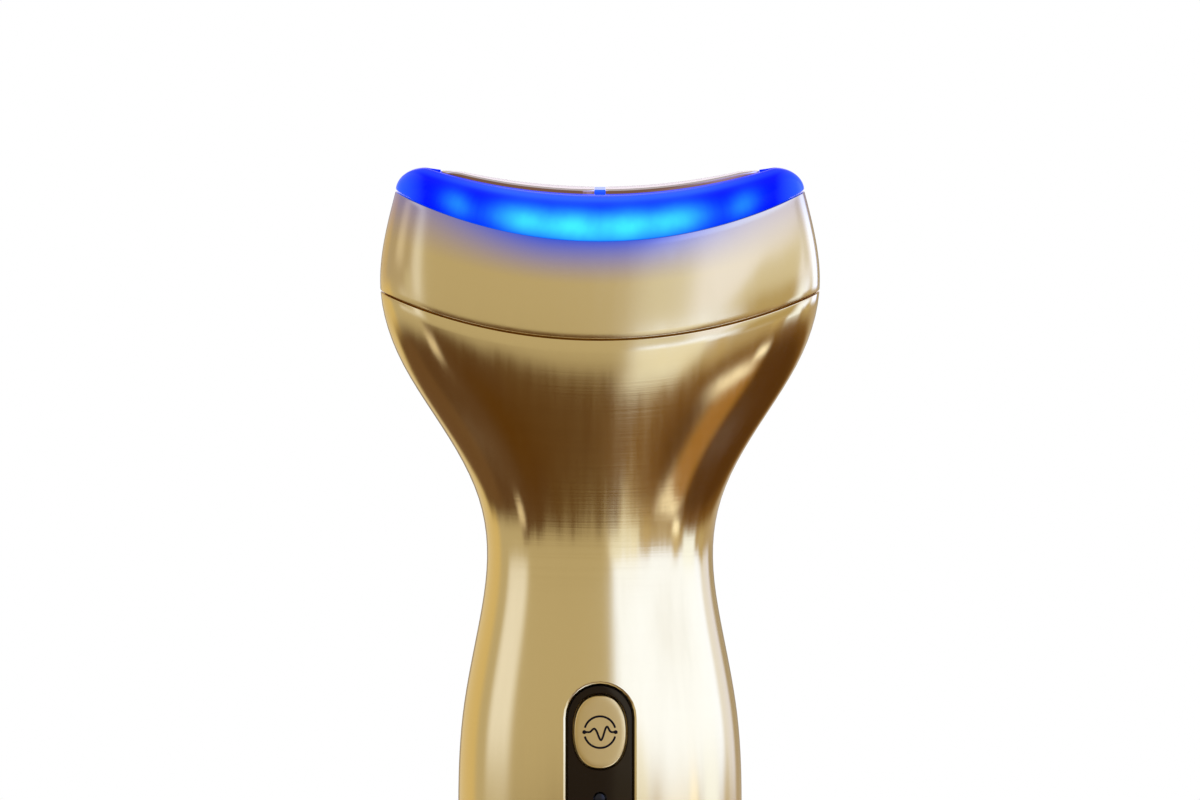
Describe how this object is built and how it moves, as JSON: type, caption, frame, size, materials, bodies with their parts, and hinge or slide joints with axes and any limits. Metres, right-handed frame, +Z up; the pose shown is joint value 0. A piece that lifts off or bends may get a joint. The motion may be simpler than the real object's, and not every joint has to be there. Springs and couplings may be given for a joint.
{
  "type": "microcurrent facial device",
  "caption": "Hand-held microcurrent facial device with a flared metal body, a hollow glowing head cap, metal contact plates, sprung push buttons and a charging port in its base.",
  "frame": {"origin": "centre of the base on the surface that the device stands on", "axes": "+Z up along the handle to the head, -Y out of the buttons, +X to the right as seen from the buttons' side"},
  "size_m": [0.058, 0.0317, 0.168],
  "materials": {
    "gold_metal": "brushed and anodised in a pale gold",
    "blue_light_cap": "translucent, lit in blue from inside",
    "bright_plate": "polished contact plate",
    "black_gloss": "piano black",
    "grey_rubber": "soft silicone",
    "screw_steel": "plain bright steel",
    "copper_alloy": "bare copper alloy",
    "black_plastic": "fine spark texture",
    "white_plastic": "plain moulded",
    "clear_plastic": "clear light guide",
    "lamp_resin": "cast lamp body",
    "board_green": "lacquered circuit board",
    "cell_wrap": "shrunk sleeve"
  },
  "bodies": {
    "housing": {"front_shell": "gold_metal", "rear_shell": "gold_metal", "head_collar": "gold_metal", "base_cap": "gold_metal", "foot_pad": "grey_rubber", "base_seal": "grey_rubber", "light_cap": "blue_light_cap", "cap_gasket": "grey_rubber", "electrode_left": "bright_plate", "electrode_right": "bright_plate", "electrode_contact_left": "copper_alloy", "electrode_contact_right": "copper_alloy", "head_frame": "black_plastic", "led_board": "board_green", "reflector_plate": "white_plastic", "led_1": "lamp_resin", "led_2": "lamp_resin", "led_3": "lamp_resin", "led_4": "lamp_resin", "led_5": "lamp_resin", "led_6": "lamp_resin", "head_screw_left": "screw_steel", "head_screw_right": "screw_steel", "control_strip": "black_gloss", "mode_switch_body": "black_plastic", "power_switch_body": "black_plastic", "light_guide": "clear_plastic", "indicator_led_1": "lamp_resin", "indicator_led_2": "lamp_resin", "indicator_led_3": "lamp_resin", "inner_chassis": "black_plastic", "main_board": "board_green", "controller_chip": "black_plastic", "boost_coil": "copper_alloy", "storage_capacitor": "screw_steel", "head_connector": "white_plastic", "head_ribbon": "copper_alloy", "charge_ribbon": "copper_alloy", "battery_cell": "cell_wrap", "battery_tab_positive": "screw_steel", "battery_tab_negative": "screw_steel", "usb_socket": "screw_steel", "usb_board": "board_green", "frame_screw_left": "screw_steel", "frame_screw_right": "screw_steel", "base_screw_left": "screw_steel", "base_screw_right": "screw_steel", "board_screw_1": "screw_steel", "board_screw_2": "screw_steel", "board_screw_3": "screw_steel", "board_screw_4": "screw_steel"},
    "mode_key": {"mode_button": "gold_metal", "mode_switch_plunger": "white_plastic"},
    "power_key": {"power_button": "gold_metal", "power_switch_plunger": "white_plastic"}
  },
  "joints": [
    {"name": "mode_press", "type": "slide", "parent": "housing", "child": "mode_key", "axis": [0, 1, 0], "range_m": [0, 0.0004], "stiffness_N_per_m": 1200, "springref_m": -0.0005},
    {"name": "power_press", "type": "slide", "parent": "housing", "child": "power_key", "axis": [0, 1, 0], "range_m": [0, 0.0004], "stiffness_N_per_m": 1200, "springref_m": -0.0005}
  ]
}
